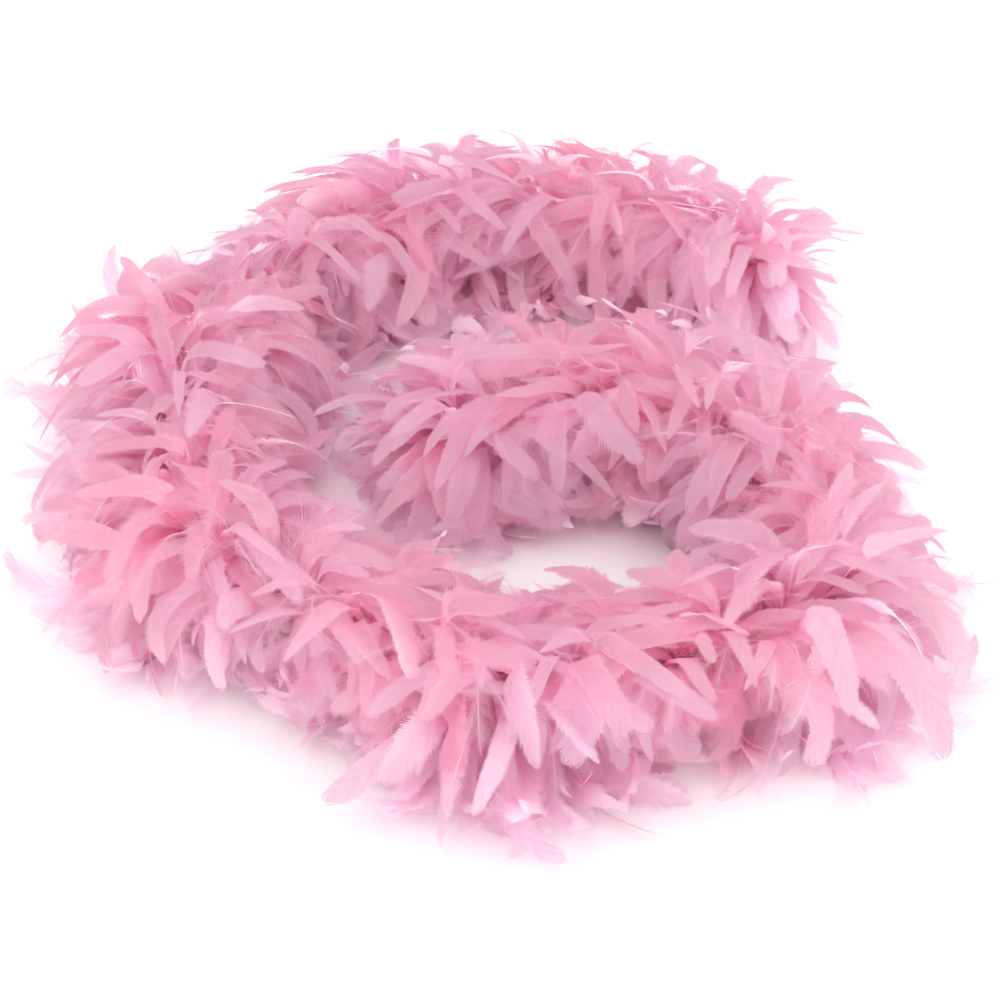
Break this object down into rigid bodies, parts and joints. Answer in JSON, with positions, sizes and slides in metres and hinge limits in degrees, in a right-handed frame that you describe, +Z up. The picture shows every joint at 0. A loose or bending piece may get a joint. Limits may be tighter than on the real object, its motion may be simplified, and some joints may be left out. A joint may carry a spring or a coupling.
{
  "type": "feather boa",
  "caption": "Soft feather boa lying in a loose spiral: tufts of dyed plumes sewn by their quills round a limp core cord.",
  "frame": {"origin": "centre of the object's box in plan, on the surface that it lies on", "axes": "+Z up from the surface; -Y towards the viewer, +X to the viewer's right, with the outer end of the boa at the back right"},
  "size_m": [0.6555, 0.7419, 0.112],
  "materials": {
    "feathers": "soft matt dyed feather",
    "core_cord": "twisted two-ply cotton cord",
    "quill_band": "sewn quill butts and down",
    "thread": "wound sewing thread"
  },
  "bodies": {
    "coil": {"core_cord_main_coil": "core_cord", "quill_band_main_coil": "quill_band", "feather_tuft_10": "feathers", "feather_tuft_11": "feathers", "feather_tuft_12": "feathers", "feather_tuft_13": "feathers", "feather_tuft_14": "feathers", "feather_tuft_15": "feathers", "feather_tuft_16": "feathers", "feather_tuft_17": "feathers", "feather_tuft_18": "feathers", "feather_tuft_19": "feathers", "feather_tuft_20": "feathers", "feather_tuft_21": "feathers", "feather_tuft_22": "feathers", "feather_tuft_23": "feathers", "feather_tuft_24": "feathers", "feather_tuft_25": "feathers", "feather_tuft_26": "feathers", "feather_tuft_27": "feathers", "feather_tuft_28": "feathers", "feather_tuft_29": "feathers", "feather_tuft_30": "feathers", "feather_tuft_31": "feathers", "feather_tuft_32": "feathers", "feather_tuft_33": "feathers", "feather_tuft_34": "feathers", "feather_tuft_35": "feathers"},
    "outer_section": {"core_cord_outer_section": "core_cord", "quill_band_outer_section": "quill_band", "feather_tuft_05": "feathers", "feather_tuft_06": "feathers", "feather_tuft_07": "feathers", "feather_tuft_08": "feathers", "feather_tuft_09": "feathers"},
    "outer_tip": {"core_cord_outer_tip": "core_cord", "quill_band_outer_tip": "quill_band", "feather_tuft_01": "feathers", "feather_tuft_02": "feathers", "feather_tuft_03": "feathers", "feather_tuft_04": "feathers", "end_whipping_outer": "thread", "end_knot_outer": "core_cord", "end_tuft_outer": "feathers"},
    "inner_tip": {"core_cord_inner_tip": "core_cord", "quill_band_inner_tip": "quill_band", "feather_tuft_36": "feathers", "feather_tuft_37": "feathers", "feather_tuft_38": "feathers", "feather_tuft_39": "feathers", "end_whipping_inner": "thread", "end_knot_inner": "core_cord", "end_tuft_inner": "feathers"}
  },
  "joints": [
    {"name": "outer_section_swing", "type": "hinge", "parent": "coil", "child": "outer_section", "pos_m": [-0.12432, 0.2114, 0.05], "axis": [0, 0, 1], "range_deg": [0, 25], "deforming": ["feather_tuft_08", "feather_tuft_09", "feather_tuft_10", "feather_tuft_11", "core_cord_outer_section", "quill_band_outer_section", "core_cord_main_coil", "quill_band_main_coil"]},
    {"name": "outer_tip_swing", "type": "hinge", "parent": "outer_section", "child": "outer_tip", "pos_m": [0.07103, 0.26588, 0.05], "axis": [0, 0, 1], "range_deg": [0, 35], "deforming": ["feather_tuft_03", "feather_tuft_04", "feather_tuft_05", "feather_tuft_06", "core_cord_outer_tip", "quill_band_outer_tip", "core_cord_outer_section", "quill_band_outer_section"]},
    {"name": "inner_tip_lift", "type": "hinge", "parent": "coil", "child": "inner_tip", "pos_m": [0.13395, -0.00586, 0.05], "axis": [0.2505, 0.9681, 0], "range_deg": [0, 35], "deforming": ["feather_tuft_34", "feather_tuft_35", "feather_tuft_36", "feather_tuft_37", "core_cord_inner_tip", "quill_band_inner_tip", "core_cord_main_coil", "quill_band_main_coil"]}
  ]
}
